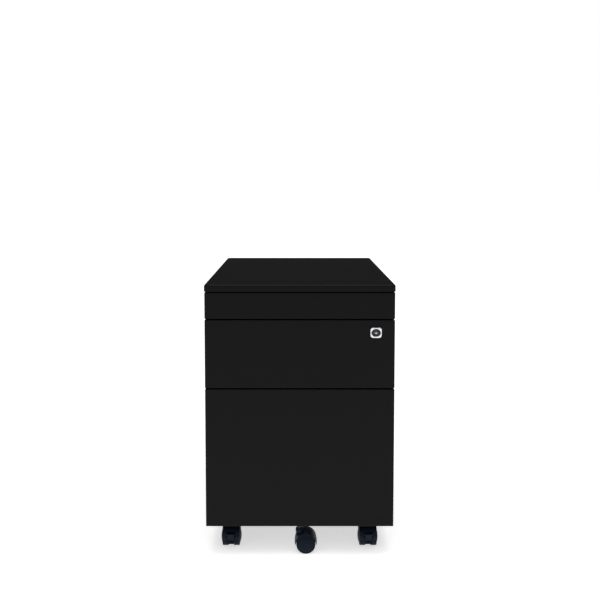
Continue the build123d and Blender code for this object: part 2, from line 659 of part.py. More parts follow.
def brake_pedal():
    """The brake lever: a hub on its pin, a blade down the hood's slot and a toe at the bottom."""
    with BuildPart() as pedal:
        with BuildSketch(Plane.YZ.offset(-PEDAL_HALF_WIDTH)):
            with Locations((PEDAL_PIVOT_Y, PEDAL_PIVOT_Z)):
                Circle(PEDAL_HUB_RADIUS)
            with BuildLine():
                Polyline(
                    (PEDAL_PIVOT_Y + PEDAL_HUB_RADIUS / 2, PEDAL_PIVOT_Z),
                    (PEDAL_PIVOT_Y, PEDAL_TIP_Z + PEDAL_BLADE),
                    (PEDAL_TIP_Y + PEDAL_BLADE, PEDAL_TIP_Z),
                    (PEDAL_TIP_Y, PEDAL_TIP_Z + PEDAL_BLADE / 2),
                    (PEDAL_PIVOT_Y - PEDAL_HUB_RADIUS, PEDAL_TIP_Z + 2 * PEDAL_BLADE),
                    (PEDAL_PIVOT_Y - PEDAL_HUB_RADIUS, PEDAL_PIVOT_Z),
                    close=True,
                )
            make_face()
            with Locations((PEDAL_PIVOT_Y, PEDAL_PIVOT_Z)):
                Circle(PEDAL_PIN_RADIUS + FIT, mode=Mode.SUBTRACT)
        extrude(amount=2 * PEDAL_HALF_WIDTH)
    return pedal.part


def castor_stem(flange_top, high):
    """The plated stem with its hexagonal collar under the plate it is bolted to."""
    with BuildPart() as stem:
        with BuildSketch(Plane.XY.offset(STEM_LOW)):
            Circle(STEM_RADIUS)
        extrude(amount=high - STEM_LOW)
        with BuildSketch(Plane.XY.offset(flange_top - COLLAR_HEIGHT)):
            RegularPolygon(COLLAR_FLATS / 2, HEX_SIDES, major_radius=False)
        extrude(amount=COLLAR_HEIGHT)
    return stem.part


def ring_nut(low):
    """One hexagonal nut on a stem, with its flat bottom at height low."""
    with BuildPart() as nut:
        with BuildSketch(Plane.XY.offset(low)):
            RegularPolygon(NUT_FLATS / 2, HEX_SIDES, major_radius=False)
            Circle(STEM_RADIUS + FIT, mode=Mode.SUBTRACT)
        extrude(amount=NUT_HEIGHT)
    return nut.part


CASTORS = (
    ("front_left", -CASTOR_X, FRONT_STEM_Y, 0, True),
    ("front_right", CASTOR_X, FRONT_STEM_Y, 0, True),
    ("rear_left", -CASTOR_X, REAR_STEM_Y, 0, False),
    ("rear_right", CASTOR_X, REAR_STEM_Y, 0, False),
    ("fifth", 0, FIFTH_STEM_Y, 90, False),
)

for corner, x, y, turn, braked in CASTORS:
    place = Location((x, y, 0), (0, 0, turn))
    save(place * castor_hood(braked), "castor_hood_" + corner)
    save(place * castor_axle(braked), "castor_axle_" + corner)
    save(place * castor_wheel(-1), "castor_wheel_a_" + corner)
    save(place * castor_wheel(1), "castor_wheel_b_" + corner)
    if braked:
        save(place * brake_pedal(), "brake_pedal_" + corner)

STEM_SPOTS = [(x, y) for name, x, y, turn, braked in CASTORS if name != "fifth"]

with BuildPart() as castor_plates:
    for x, y in STEM_SPOTS:
        with BuildSketch(Plane.XY.offset(CARCASS_BOTTOM + SHEET)):
            with Locations((x, y)):
                Rectangle(PLATE_WIDTH, PLATE_DEPTH)
                Circle(STEM_RADIUS + FIT, mode=Mode.SUBTRACT)
        extrude(amount=PLATE_THICKNESS)
save(castor_plates.part, "castor_plates")

with BuildPart() as castor_stems:
    for x, y in STEM_SPOTS:
        add(Pos(x, y, 0) * castor_stem(CARCASS_BOTTOM, STEM_HIGH))
save(castor_stems.part, "castor_stems")

with BuildPart() as castor_nuts:
    for x, y in STEM_SPOTS:
        add(Pos(x, y, 0) * ring_nut(CARCASS_BOTTOM + SHEET + PLATE_THICKNESS))
save(castor_nuts.part, "castor_nuts")

with BuildPart() as fifth_castor_bracket:
    bracket_back = BRACKET_FRONT + BRACKET_DEPTH
    bar(-BRACKET_HALF_WIDTH, BRACKET_HALF_WIDTH, BRACKET_FRONT, bracket_back, BRACKET_LOW,
        BRACKET_LOW + BRACKET_SHEET)
    for side in (-1, 1):
        web_in = BRACKET_HALF_WIDTH - BRACKET_SHEET
        side_bar(side, web_in, BRACKET_HALF_WIDTH, BRACKET_FRONT, bracket_back, BRACKET_LOW, FILE_LOW)
        side_bar(side, web_in, BRACKET_HALF_WIDTH + BRACKET_FLANGE, BRACKET_FRONT, bracket_back,
                 FILE_LOW - BRACKET_SHEET, FILE_LOW)
    with BuildSketch(Plane.XY.offset(BRACKET_LOW)):
        with Locations((0, FIFTH_STEM_Y)):
            Circle(STEM_RADIUS + FIT)
    extrude(amount=BRACKET_SHEET, mode=Mode.SUBTRACT)
save(fifth_castor_bracket.part, "fifth_castor_bracket")

with BuildPart() as fifth_castor_stem:
    add(Pos(0, FIFTH_STEM_Y, 0) * castor_stem(BRACKET_LOW, FIFTH_STEM_HIGH))
    add(Pos(0, FIFTH_STEM_Y, 0) * ring_nut(BRACKET_LOW + BRACKET_SHEET))
save(fifth_castor_stem.part, "fifth_castor_stem")
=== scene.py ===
# %% [markdown]
# # A black steel drawer pedestal on castors
# The cabinet is folded sheet steel with a powder coat: a thin lid, three flat drawer fronts, a lock,
# telescopic slides inside and five small twin-wheel castors. The CAD frame already fixes every size and
# every moving body. This lesson dresses that frame: it swaps plain solids for softened, better shaped
# meshes and gives each finish a procedural material. Everything is in metres, in the CAD frame, so a new
# piece goes where its node's box says.

# %% Load the frame
import json
import math

import bmesh
import bpy
from mathutils import Matrix, Vector


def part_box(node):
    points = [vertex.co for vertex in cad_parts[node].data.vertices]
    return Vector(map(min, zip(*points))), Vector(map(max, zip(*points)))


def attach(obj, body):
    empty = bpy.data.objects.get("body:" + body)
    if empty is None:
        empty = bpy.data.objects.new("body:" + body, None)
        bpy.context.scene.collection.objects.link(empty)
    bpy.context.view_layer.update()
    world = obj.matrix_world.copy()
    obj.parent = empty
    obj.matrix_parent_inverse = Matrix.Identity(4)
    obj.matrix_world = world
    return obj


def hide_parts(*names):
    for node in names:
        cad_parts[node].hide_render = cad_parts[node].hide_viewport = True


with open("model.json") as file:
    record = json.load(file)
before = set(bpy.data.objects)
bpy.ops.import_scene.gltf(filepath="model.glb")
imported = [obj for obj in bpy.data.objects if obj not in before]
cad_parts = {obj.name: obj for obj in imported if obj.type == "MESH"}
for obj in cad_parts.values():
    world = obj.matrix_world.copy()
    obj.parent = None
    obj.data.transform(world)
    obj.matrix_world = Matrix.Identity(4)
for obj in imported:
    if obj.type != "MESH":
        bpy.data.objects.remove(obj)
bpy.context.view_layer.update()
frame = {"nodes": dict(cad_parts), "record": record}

MM = 0.001
body_of_node = {node: body for body, nodes in frame["record"]["behaviour"]["bodies"].items()
                for node in nodes}
slot_of_node = {part["node"]: part["material_slot"] for part in frame["record"]["subparts"]}


# %% [markdown]
# ## Shared shader effects
# Real finishes are never one flat colour. A few effects turn up on almost every surface here: fine
# pebbling, soft cloudy variation, a little wear where an edge is handled, and dust that settles on faces
# that look up. Each is a node group with named sockets, built once, so that every material can place it
# with its own values. A group gives out only masks and heights. The shader itself stays in the material,
# where the exporter can read it.

# %% Node group helpers
def new_group(name, inputs, outputs):
    """An empty shader group with float or colour sockets, and its input and output nodes."""
    group = bpy.data.node_groups.new(name, "ShaderNodeTree")
    for label, kind, value in inputs:
        socket = group.interface.new_socket(label, in_out="INPUT", socket_type=kind)
        if value is not None:
            socket.default_value = value
    for label, kind in outputs:
        group.interface.new_socket(label, in_out="OUTPUT", socket_type=kind)
    return group, group.nodes.new("NodeGroupInput"), group.nodes.new("NodeGroupOutput")


def noise(tree, vector, scale, detail=3.0, roughness=0.55):
    """One noise texture read at a vector; gives its value socket."""
    node = tree.nodes.new("ShaderNodeTexNoise")
    node.inputs["Detail"].default_value = detail
    node.inputs["Roughness"].default_value = roughness
    tree.links.new(vector, node.inputs["Vector"])
    if hasattr(scale, "is_linked"):
        tree.links.new(scale, node.inputs["Scale"])
    else:
        node.inputs["Scale"].default_value = scale
    return node.outputs["Fac"]


def remap(tree, value, low, high, out_low=0.0, out_high=1.0):
    """Stretch a value from one span to another, clamped at both ends."""
    node = tree.nodes.new("ShaderNodeMapRange")
    tree.links.new(value, node.inputs["Value"])
    for label, number in (("From Min", low), ("From Max", high), ("To Min", out_low), ("To Max", out_high)):
        if hasattr(number, "is_linked"):
            tree.links.new(number, node.inputs[label])
        else:
            node.inputs[label].default_value = number
    return node.outputs["Result"]


def maths(tree, operation, first, second=None, clamp=False):
    """One Math node on sockets or plain numbers."""
    node = tree.nodes.new("ShaderNodeMath")
    node.operation = operation
    node.use_clamp = clamp
    for index, value in enumerate((first, second)):
        if value is None:
            continue
        if hasattr(value, "is_linked"):
            tree.links.new(value, node.inputs[index])
        else:
            node.inputs[index].default_value = value
    return node.outputs[0]


print("helpers for groups ready")


# %% [markdown]
# ### Pebble
# Powder coat melts into a skin with a fine "orange peel": rounded bumps about a millimetre apart. Moulded
# nylon has a finer spark-eroded grain. Both are noise at two scales, so one group with a scale and a mix
# serves both.

# %% Pebble group
def build_pebble():
    group, given, result = new_group(
        "pebbled_skin",
        (("Vector", "NodeSocketVector", None), ("Scale", "NodeSocketFloat", 900.0),
         ("Fine", "NodeSocketFloat", 0.3)),
        (("Height", "NodeSocketFloat"),),
    )
    coarse = noise(group, given.outputs["Vector"], given.outputs["Scale"], 1.5, 0.4)
    fine_scale = maths(group, "MULTIPLY", given.outputs["Scale"], 3.3)
    fine = noise(group, given.outputs["Vector"], fine_scale, 2.0, 0.5)
    fine_part = maths(group, "MULTIPLY", fine, given.outputs["Fine"])
    group.links.new(maths(group, "ADD", coarse, fine_part), result.inputs["Height"])
    return group


PEBBLE = build_pebble()
print("group:", PEBBLE.name)


# %% [markdown]
# ### Clouds
# Large, faint patches where a surface has been wiped, handled or left alone. They shift colour and
# roughness by a few percent, which is enough to stop a big panel from looking like a flat card.

# %% Clouds group
def build_clouds():
    group, given, result = new_group(
        "handled_clouds",
        (("Vector", "NodeSocketVector", None), ("Scale", "NodeSocketFloat", 9.0)),
        (("Value", "NodeSocketFloat"), ("Smudge", "NodeSocketFloat")),
    )
    broad = noise(group, given.outputs["Vector"], given.outputs["Scale"], 4.0, 0.5)
    group.links.new(remap(group, broad, 0.3, 0.7), result.inputs["Value"])
    tight_scale = maths(group, "MULTIPLY", given.outputs["Scale"], 5.0)
    tight = noise(group, given.outputs["Vector"], tight_scale, 6.0, 0.62)
    group.links.new(remap(group, tight, 0.5, 0.75), result.inputs["Smudge"])
    return group


CLOUDS = build_clouds()
print("group:", CLOUDS.name)


# %% [markdown]
# ### Edge wear
# Paint thins over a fold and hands polish it, so edges read a touch lighter. The Bevel node gives a normal
# that is averaged over a small radius. Where it leans away from the true normal there is an edge, and noise
# breaks the line.

# %% Edge wear group
def build_edge_wear():
    group, given, result = new_group(
        "edge_wear",
        (("Vector", "NodeSocketVector", None), ("Radius", "NodeSocketFloat", 0.0015),
         ("Break", "NodeSocketFloat", 160.0)),
        (("Mask", "NodeSocketFloat"),),
    )
    bevel = group.nodes.new("ShaderNodeBevel")
    bevel.samples = 6
    group.links.new(given.outputs["Radius"], bevel.inputs["Radius"])
    surface = group.nodes.new("ShaderNodeNewGeometry")
    dot = group.nodes.new("ShaderNodeVectorMath")
    dot.operation = "DOT_PRODUCT"
    group.links.new(bevel.outputs["Normal"], dot.inputs[0])
    group.links.new(surface.outputs["Normal"], dot.inputs[1])
    lean = maths(group, "SUBTRACT", 1.0, dot.outputs["Value"])
    edge = remap(group, lean, 0.015, 0.20)
    grain = noise(group, given.outputs["Vector"], given.outputs["Break"], 5.0, 0.6)
    patches = remap(group, grain, 0.38, 0.66)
    group.links.new(maths(group, "MULTIPLY", edge, patches, True), result.inputs["Mask"])
    return group


EDGE_WEAR = build_edge_wear()
print("group:", EDGE_WEAR.name)


# %% [markdown]
# ### Dust
# A thin film lies on anything that faces up. The group reads the surface normal's upward part and breaks it
# with noise. It stays faint, because the cabinet is clean.

# %% Dust group
def build_dust():
    group, given, result = new_group(
        "settled_dust", (("Vector", "NodeSocketVector", None),), (("Mask", "NodeSocketFloat"),)
    )
    surface = group.nodes.new("ShaderNodeNewGeometry")
    parts = group.nodes.new("ShaderNodeSeparateXYZ")
    group.links.new(surface.outputs["Normal"], parts.inputs[0])
    upward = remap(group, parts.outputs["Z"], 0.55, 1.0)
    specks = remap(group, noise(group, given.outputs["Vector"], 420.0, 6.0, 0.7), 0.42, 0.8)
    group.links.new(maths(group, "MULTIPLY", upward, specks, True), result.inputs["Mask"])
    return group


DUST = build_dust()
print("group:", DUST.name)


# %% [markdown]
# ## Materials
# Every finish is one Principled shader fed by the groups. A small helper starts a material with its
# constant values on the sockets themselves, and three more wire in what varies: colour, roughness and the
# bump.

# %% Material helpers
def start_material(name, **constants):
    """A new material with its Principled node, its Object coordinates and any constant socket values."""
    material = bpy.data.materials.new(name)
    material.use_nodes = True
    tree = material.node_tree
    shader = tree.nodes["Principled BSDF"]
    for label, value in constants.items():
        shader.inputs[label.replace("_", " ")].default_value = value
    where = tree.nodes.new("ShaderNodeTexCoord").outputs["Object"]
    return material, tree, shader, where


def place(tree, group, vector, **values):
    """Put a shared group in a material, reading that vector, with its own values."""
    node = tree.nodes.new("ShaderNodeGroup")
    node.node_tree = group
    tree.links.new(vector, node.inputs["Vector"])
    for label, value in values.items():
        node.inputs[label].default_value = value
    return node


def tint(tree, mask, base, other):
    """Mix two colours by a mask; base may be a colour or a socket."""
    node = tree.nodes.new("ShaderNodeMix")
    node.data_type = "RGBA"
    tree.links.new(mask, node.inputs["Factor"])
    if hasattr(base, "is_linked"):
        tree.links.new(base, node.inputs["A"])
    else:
        node.inputs["A"].default_value = (*base, 1.0)
    node.inputs["B"].default_value = (*other, 1.0)
    return node.outputs["Result"]


def bump(tree, shader, height, strength, depth):
    """Feed a height to the shader's normal; depth is in metres."""
    node = tree.nodes.new("ShaderNodeBump")
    node.inputs["Strength"].default_value = strength
    node.inputs["Distance"].default_value = depth
    tree.links.new(height, node.inputs["Height"])
    tree.links.new(node.outputs["Normal"], shader.inputs["Normal"])


print("material helpers ready")


# %% [markdown]
# ### Powder coat and inner paint
# The outside is a near-black satin powder coat. Inside, the same paint is sprayed thinner, so it is
# smoother and a little glossier. Both come from one function with different values.

# %% Paint
def painted_steel(name, base, worn, roughness, pebble_scale, pebble_strength, wear):
    material, tree, shader, where = start_material(name, Specular_IOR_Level=0.125)
    clouds = place(tree, CLOUDS, where, Scale=6.0)
    edges = place(tree, EDGE_WEAR, where, Radius=0.0016)
    dust = place(tree, DUST, where)
    shade = tint(tree, clouds.outputs["Value"], base, tuple(c * 1.10 for c in base))
    shade = tint(tree, maths(tree, "MULTIPLY", edges.outputs["Mask"], wear), shade, worn)
    shade = tint(tree, maths(tree, "MULTIPLY", dust.outputs["Mask"], 0.012), shade, (0.20, 0.19, 0.18))
    tree.links.new(shade, shader.inputs["Base Color"])
    rough = remap(tree, clouds.outputs["Smudge"], 0.0, 1.0, roughness, roughness + 0.03)
    rough = maths(tree, "SUBTRACT", rough, maths(tree, "MULTIPLY", edges.outputs["Mask"], 0.10))
    tree.links.new(rough, shader.inputs["Roughness"])
    pebble = place(tree, PEBBLE, where, Scale=pebble_scale)
    bump(tree, shader, pebble.outputs["Height"], pebble_strength, 0.00012)
    return material


POWDER_COAT = painted_steel("black_powder_coat", (0.0028, 0.0028, 0.0029), (0.020, 0.020, 0.020),
                            0.44, 850.0, 0.40, 0.5)
INNER_PAINT = painted_steel("black_inner_paint", (0.0070, 0.0070, 0.0072), (0.030, 0.030, 0.031),
                            0.38, 1200.0, 0.20, 0.6)
print("paints:", POWDER_COAT.name, INNER_PAINT.name)


# %% [markdown]
# ### Bare and plated metals
# Slides and screws are bright zinc: cool grey, with faint crystalline patches and rolling lines. The lock
# plate is chrome, almost a mirror, with hairline wiping marks. The plug's face is a darker nickel, the
# castors' stems and axles are black zinc, and the hanging-file rails are drawn aluminium with lines along
# their length.

# %% Metals
def plated_metal(name, base, dark, roughness, spread, patch_scale, stretch, line_strength):
    material, tree, shader, where = start_material(name, Metallic=1.0)
    clouds = place(tree, CLOUDS, where, Scale=patch_scale)
    edges = place(tree, EDGE_WEAR, where, Radius=0.0006)
    lines_at = tree.nodes.new("ShaderNodeMapping")
    lines_at.inputs["Scale"].default_value = stretch
    tree.links.new(where, lines_at.inputs["Vector"])
    lines = noise(tree, lines_at.outputs["Vector"], 900.0, 3.0, 0.6)
    shade = tint(tree, maths(tree, "MULTIPLY", clouds.outputs["Value"], 0.6), base, dark)
    polished = tuple(min(1.0, c * 1.25) for c in base)
    shade = tint(tree, maths(tree, "MULTIPLY", edges.outputs["Mask"], 0.3), shade, polished)
    tree.links.new(shade, shader.inputs["Base Color"])
    rough = remap(tree, clouds.outputs["Smudge"], 0.0, 1.0, roughness, roughness + spread)
    rough = maths(tree, "ADD", rough, maths(tree, "MULTIPLY", lines, spread))
    tree.links.new(rough, shader.inputs["Roughness"])
    bump(tree, shader, lines, line_strength, 0.00003)
    return material


ALONG_Y = (1.0, 0.02, 1.0)
ANY_WAY = (1.0, 1.0, 1.0)
ZINC = plated_metal("bright_zinc", (0.56, 0.57, 0.59), (0.40, 0.41, 0.44), 0.26, 0.14, 60.0, ALONG_Y, 0.25)
CHROME = plated_metal("polished_chrome", (0.74, 0.74, 0.76), (0.66, 0.66, 0.69),
                      0.09, 0.05, 30.0, ANY_WAY, 0.04)
NICKEL = plated_metal("dark_nickel", (0.060, 0.062, 0.068), (0.035, 0.036, 0.040),
                      0.26, 0.10, 80.0, ANY_WAY, 0.15)
SHUTTER_STEEL = plated_metal("shutter_steel", (0.24, 0.25, 0.27), (0.18, 0.19, 0.20),
                             0.22, 0.08, 80.0, ANY_WAY, 0.10)
BLACK_ZINC = plated_metal("black_zinc", (0.045, 0.048, 0.056), (0.025, 0.027, 0.032),
                          0.34, 0.14, 60.0, ANY_WAY, 0.20)
ALUMINIUM = plated_metal("drawn_aluminium", (0.66, 0.67, 0.68), (0.55, 0.56, 0.58),
                         0.30, 0.12, 40.0, ALONG_Y, 0.35)
print("metals:", ZINC.name, CHROME.name, NICKEL.name, ALUMINIUM.name)


# %% [markdown]
# ### Plastics and rubber
# The castors are moulded blue-black nylon with a satin spark-eroded skin. The treads are the same resin,
# scuffed by the floor. The hoods still take a lighter base than the wheels: painted light that lifts
# them in the shade under the cabinet, while the wheels' darker base is painted shade against the strong
# light from the floor. The pen insert is a black styrene with a leather-like grain, and the slide stops
# are matt rubber.

# %% Plastics
def moulded(name, base, scuffed, roughness, grain_scale, grain_strength, wear, gloss=0.5):
    material, tree, shader, where = start_material(name, Specular_IOR_Level=gloss)
    clouds = place(tree, CLOUDS, where, Scale=40.0)
    edges = place(tree, EDGE_WEAR, where, Radius=0.0009)
    dust = place(tree, DUST, where)
    shade = tint(tree, clouds.outputs["Value"], base, tuple(c * 1.25 for c in base))
    shade = tint(tree, maths(tree, "MULTIPLY", edges.outputs["Mask"], wear), shade, scuffed)
    shade = tint(tree, maths(tree, "MULTIPLY", clouds.outputs["Smudge"], wear * 0.25), shade, scuffed)
    shade = tint(tree, maths(tree, "MULTIPLY", dust.outputs["Mask"], 0.03), shade, (0.20, 0.19, 0.18))
    tree.links.new(shade, shader.inputs["Base Color"])
    rough = remap(tree, clouds.outputs["Smudge"], 0.0, 1.0, roughness, roughness + 0.14)
    tree.links.new(rough, shader.inputs["Roughness"])
    pebble = place(tree, PEBBLE, where, Scale=grain_scale, Fine=0.6)
    bump(tree, shader, pebble.outputs["Height"], grain_strength, 0.00005)
    return material


# Painted light: the hood's base is about twice the wheel's, to lift the hoods in the shade under the cabinet;
# the wheel's darker base is painted shade against the floor's light.
HOOD_NYLON_PAINTED_LIGHTER = moulded("hood_nylon", (0.0115, 0.0165, 0.0290), (0.020, 0.026, 0.038),
                     0.36, 2600.0, 0.30, 0.4, 0.10)
WHEEL_NYLON_PAINTED_DARKER = moulded("wheel_nylon", (0.0058, 0.0098, 0.0195), (0.018, 0.024, 0.036),
                      0.42, 2200.0, 0.30, 0.5, 0.08)
STYRENE = moulded("black_styrene", (0.0140, 0.0140, 0.0145), (0.05, 0.05, 0.05), 0.42, 1500.0, 0.5, 0.4)
RUBBER = moulded("matt_rubber", (0.0180, 0.0180, 0.0180), (0.06, 0.06, 0.06), 0.72, 1800.0, 0.4, 0.4)
MATERIAL_OF_SLOT = {
    "black_powder_coat": POWDER_COAT,
    "black_inner_paint": INNER_PAINT,
    "zinc": ZINC,
    "chrome": CHROME,
    "lock_plug_dark": NICKEL,
    "aluminium": ALUMINIUM,
    "dark_plastic": STYRENE,
    "hood_nylon": HOOD_NYLON_PAINTED_LIGHTER,
    "wheel_nylon": WHEEL_NYLON_PAINTED_DARKER,
    "rubber": RUBBER,
}
print("finishes:", len(MATERIAL_OF_SLOT))


# %% [markdown]
# ## Turning a bmesh into a piece
# Every new piece ends the same way: merge doubles, point the faces outwards, shade smooth with the real
# creases kept sharp, then ride on the body of the node it stands for. One helper does that, so no piece can
# be left behind.

# %% Piece helpers
CREASE = math.radians(32)
SAME_POINT = 1e-6


def finish_piece(name, bm, node, material=None, replace=True, fix_normals=True):
    """Write a bmesh as an object, dress it and hang it on the body of its CAD node."""
    bmesh.ops.remove_doubles(bm, verts=bm.verts[:], dist=SAME_POINT)
    if fix_normals:
        bmesh.ops.recalc_face_normals(bm, faces=bm.faces[:])
    mesh = bpy.data.meshes.new(name)
    bm.to_mesh(mesh)
    bm.free()
    mesh.shade_smooth()
    mesh.set_sharp_from_angle(angle=CREASE)
    piece = bpy.data.objects.new(name, mesh)
    bpy.context.scene.collection.objects.link(piece)
    mesh.materials.append(material or MATERIAL_OF_SLOT[slot_of_node[node]])
    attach(piece, body_of_node[node])
    if replace:
        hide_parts(node)
    return piece


def weighted(piece):
    """Let the big flat faces rule the shading, so a narrow bevel does not bend their reflections."""
    modifier = piece.modifiers.new("flat_faces_first", "WEIGHTED_NORMAL")
    modifier.keep_sharp = True
    return piece


def size_of(node):
    """Lowest corner, highest corner, middle and size of a CAD node."""
    low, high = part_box(node)
    low, high = Vector(low), Vector(high)
    return low, high, (low + high) / 2, high - low


def block(bm, low, high):
    """A box between two corners; gives its vertices."""
    low, high = Vector(low), Vector(high)
    made = bmesh.ops.create_cube(bm, size=1.0)["verts"]
    bmesh.ops.scale(bm, vec=high - low, verts=made)
    bmesh.ops.translate(bm, vec=(low + high) / 2, verts=made)
    return made


def edges_of(bm, test):
    """Every edge whose two ends pass a test."""
    return [edge for edge in bm.edges if test(*edge.verts)]


def round_edges(bm, edges, radius, segments=3):
    """Bevel those edges to a round of that radius."""
    bmesh.ops.bevel(bm, geom=edges, offset=radius, offset_type="OFFSET", segments=segments, profile=0.5,
                    affect="EDGES", material=-1)


print("piece helpers ready")


# %% [markdown]
# ## Softened copies of sound shapes
# Many small steel pieces already have the right shape in CAD, but their edges are perfectly sharp and
# nothing real is. A copy of the node's triangles is merged, its flat triangles are dissolved into whole
# faces, and a fine Bevel modifier rounds what is left. That catches light the way a sheared and deburred
# edge does.

# %% Softened copies
def softened(node, radius=0.0003, segments=2, material=None):
    """A copy of a CAD node with merged, dissolved and softly rounded edges."""
    bm = bmesh.new()
    bm.from_mesh(frame["nodes"][node].data)
    bmesh.ops.remove_doubles(bm, verts=bm.verts[:], dist=2e-6)
    bmesh.ops.dissolve_limit(bm, angle_limit=math.radians(0.6), verts=bm.verts[:], edges=bm.edges[:])
    piece = finish_piece(node + "_soft", bm, node, material, fix_normals=False)
    rounding = piece.modifiers.new("deburred", "BEVEL")
    rounding.width = radius
    rounding.segments = segments
    rounding.limit_method = "ANGLE"
    rounding.angle_limit = math.radians(38)
    rounding.use_clamp_overlap = True
    return weighted(piece)


print("softening ready")


# %% [markdown]
# ## The lid
# The lid is a shallow tray of thin steel, upside down, with its top edges rolled over a generous radius. A
# cube is bevelled in two passes, first the upright corners and then the top rim, and its underside is inset
# and pushed up to leave a skirt of sheet thickness.

# %% Lid
LID_EDGE = 4.5 * MM
LID_CORNER = 8.0 * MM
LID_SHEET = 1.2 * MM
LID_HEM = 2.2 * MM
ARC_STEPS = 8


def build_lid():
    low, high, _, size = size_of("top_lid")
    bm = bmesh.new()
    block(bm, low, high)
    upright = edges_of(bm, lambda a, b: abs(a.co.z - b.co.z) > size.z / 2)
    round_edges(bm, upright, LID_CORNER, ARC_STEPS)
    rim = [edge for edge in bm.edges if all(abs(v.co.z - high.z) < SAME_POINT for v in edge.verts)
           and any(face.normal.z < 0.5 for face in edge.link_faces)]
    round_edges(bm, rim, LID_EDGE, ARC_STEPS)
    under = [face for face in bm.faces if face.normal.z < -0.9]
    bmesh.ops.inset_region(bm, faces=under, thickness=LID_SHEET, use_even_offset=True)
    bmesh.ops.inset_region(bm, faces=under, thickness=LID_HEM, depth=0.0, use_even_offset=True)
    moved = list({v for face in under for v in face.verts})
    bmesh.ops.translate(bm, vec=(0, 0, size.z - LID_SHEET), verts=moved)
    return weighted(finish_piece("lid_shell", bm, "top_lid"))


lid = build_lid()
print("lid:", len(lid.data.polygons), "faces")


# %% [markdown]
# ## Drawer fronts
# Each front is a folded pan about 18 mm deep. Seen from the front only its face and its softly rounded
# edges show, so the bevel is what catches the light. The pan is open at the back, where the fold returns
# inwards as a lip. The box front also needs the round hole that the lock's barrel passes through: the face
# is cut into a square round the lock, and that square is bridged to a circle.

# %% Fronts
FRONT_EDGE = 1.6 * MM
FRONT_SHEET = 1.0 * MM
LOCK_HOLE = 9.3 * MM
HOLE_STEPS = 8
HOLE_WEB = 1.15
LOCK_LOW, LOCK_HIGH, LOCK_MIDDLE, LOCK_SIZE = size_of("lock_housing")


def cut_square(bm, half):
    """Slice the whole pan by four planes round the lock, so that each skin has a small square there."""
    for axis, middle in ((Vector((1, 0, 0)), LOCK_MIDDLE.x), (Vector((0, 0, 1)), LOCK_MIDDLE.z)):
        for side in (-1, 1):
            geometry = bm.verts[:] + bm.edges[:] + bm.faces[:]
            bmesh.ops.bisect_plane(bm, geom=geometry, plane_co=axis * (middle + side * half), plane_no=axis,
                                   dist=1e-7)


def round_hole(bm, half, radius, level):
    """Swap the square at one depth for a circle in a web of faces; gives the circle's edges."""
    inside = [face for face in bm.faces if abs(face.normal.y) > 0.99
              and abs(face.calc_center_median().x - LOCK_MIDDLE.x) < half / 2
              and abs(face.calc_center_median().z - LOCK_MIDDLE.z) < half / 2
              and abs(face.calc_center_median().y - level) < 1e-5]
    square = list({edge for face in inside for edge in face.edges})
    bmesh.ops.delete(bm, geom=inside, context="FACES_ONLY")
    split = bmesh.ops.subdivide_edges(bm, edges=square, cuts=HOLE_STEPS - 1)
    rim = [item for item in split["geom_split"] if isinstance(item, bmesh.types.BMEdge)]
    stand = Matrix.Translation((LOCK_MIDDLE.x, level, LOCK_MIDDLE.z)) @ Matrix.Rotation(math.pi / 2, 4, "X")
    circle = bmesh.ops.create_circle(bm, segments=4 * HOLE_STEPS, radius=radius, matrix=stand)
    ring = list({edge for vert in circle["verts"] for edge in vert.link_edges})
    bmesh.ops.bridge_loops(bm, edges=[edge for edge in rim if edge.is_boundary] + ring)
    return ring


def front_pan(name, node, has_lock=False):
    low, high, _, size = size_of(node)
    bm = bmesh.new()
    block(bm, low, high)
    sides = edges_of(bm, lambda a, b: abs(a.co.y - b.co.y) > size.y / 2)
    around = edges_of(bm, lambda a, b: max(a.co.y, b.co.y) < low.y + SAME_POINT)
    round_edges(bm, sides + around, FRONT_EDGE, 4)
    back = [face for face in bm.faces if face.normal.y > 0.9]
    bmesh.ops.inset_region(bm, faces=back, thickness=FRONT_SHEET, use_even_offset=True)
    moved = list({v for face in back for v in face.verts})
    bmesh.ops.translate(bm, vec=(0, -(size.y - FRONT_SHEET), 0), verts=moved)
    if has_lock:
        half = LOCK_HOLE * HOLE_WEB
        cut_square(bm, half)
        rings = [round_hole(bm, half, LOCK_HOLE, level) for level in (low.y, low.y + FRONT_SHEET)]
        bmesh.ops.bridge_loops(bm, edges=rings[0] + rings[1])
    open_edges = sum(1 for edge in bm.edges if not edge.is_manifold)
    print(name, "open edges:", open_edges)
    return weighted(finish_piece(name, bm, node))


pencil_front = front_pan("pencil_front_pan", "pencil_front")
box_front = front_pan("box_front_pan", "box_front", has_lock=True)
file_front = front_pan("file_front_pan", "file_front")
print("fronts:", [len(piece.data.polygons) for piece in (pencil_front, box_front, file_front)])


# %% [markdown]
# ## The lock
# The lock's plate is a small chrome casting: nearly square at the top, bowed at the bottom, with an eye-
# shaped recess. Everything on it is a closed ring round the same axis, so a piece is made as a stack of
# rings that are joined one to the next. Each ring starts as a circle and its points slide out to the
# outline they should have.

# %% Rings round the lock
RING_STEPS = 64
CRISP = 9.0
ROUND = 4.2


def square_reach(half_width, half_height, angle):
    """Distance to the plate's edge: crisp corners above, round ones below."""
    power = CRISP if math.sin(angle) > 0 else ROUND
    across = abs(math.cos(angle)) / half_width
    upright = abs(math.sin(angle)) / half_height
    return (across ** power + upright ** power) ** (-1.0 / power)


def eye_reach(half_width, half_height, angle):
    """Distance to the edge of an eye made of two arcs that meet in points."""
    radius = (half_width ** 2 + half_height ** 2) / (2 * half_height)
    drop = radius - half_height
    return math.sqrt(radius ** 2 - (drop * math.cos(angle)) ** 2) - drop * abs(math.sin(angle))


